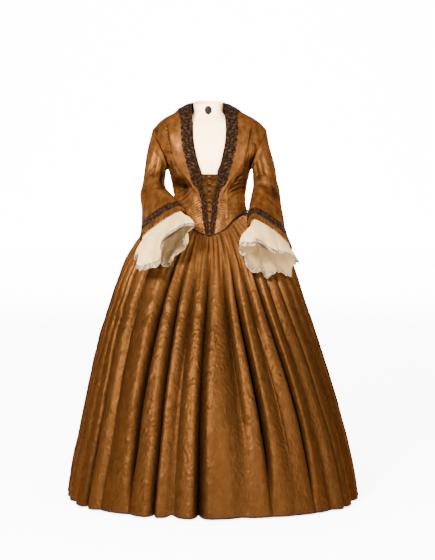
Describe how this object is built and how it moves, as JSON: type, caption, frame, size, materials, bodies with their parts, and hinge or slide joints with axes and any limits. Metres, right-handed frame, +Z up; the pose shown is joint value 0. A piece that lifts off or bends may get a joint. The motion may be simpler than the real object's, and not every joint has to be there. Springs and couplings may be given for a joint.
{
  "type": "day dress",
  "caption": "Brown silk day dress with a pointed bodice, dark lace bands down an open front, wide elbow sleeves over cream undersleeves and a full gathered skirt.",
  "frame": {"origin": "the point between the wearer's shoulders that holds the dress up, 1.290 m above the floor", "axes": "+Z up, the wearer faces -Y, +X towards the wearer's left"},
  "size_m": [0.997, 1.0882, 1.3385],
  "materials": {
    "brown_silk": "lustrous",
    "dark_piping": "soft",
    "hem_braid": "matte",
    "dark_lace": "matte",
    "cream_cotton": "matte",
    "covered_button": "soft",
    "brooch_metal": "satin"
  },
  "bodies": {
    "root": {"bodice_centre_front": "brown_silk", "bodice_strip_left": "brown_silk", "bodice_strip_right": "brown_silk", "bodice_front_left": "brown_silk", "bodice_front_right": "brown_silk", "bodice_side_back_left": "brown_silk", "bodice_side_back_right": "brown_silk", "bodice_back": "brown_silk", "skirt_front": "brown_silk", "skirt_front_left": "brown_silk", "skirt_back_left": "brown_silk", "skirt_back": "brown_silk", "skirt_back_right": "brown_silk", "skirt_front_right": "brown_silk", "sleeve_left": "brown_silk", "sleeve_right": "brown_silk", "sleeve_frill_left": "brown_silk", "sleeve_frill_right": "brown_silk", "waist_piping": "dark_piping", "hem_binding": "hem_braid", "lace_left": "dark_lace", "lace_right": "dark_lace", "lace_back_neck": "dark_lace", "sleeve_lace_left": "dark_lace", "sleeve_lace_right": "dark_lace", "chemisette_front": "cream_cotton", "chemisette_back": "cream_cotton", "collar": "cream_cotton", "undersleeve_left": "cream_cotton", "undersleeve_right": "cream_cotton", "button_1": "covered_button", "button_2": "covered_button", "button_3": "covered_button", "button_4": "covered_button", "button_5": "covered_button", "button_6": "covered_button", "button_7": "covered_button", "collar_brooch": "brooch_metal"}
  },
  "joints": []
}
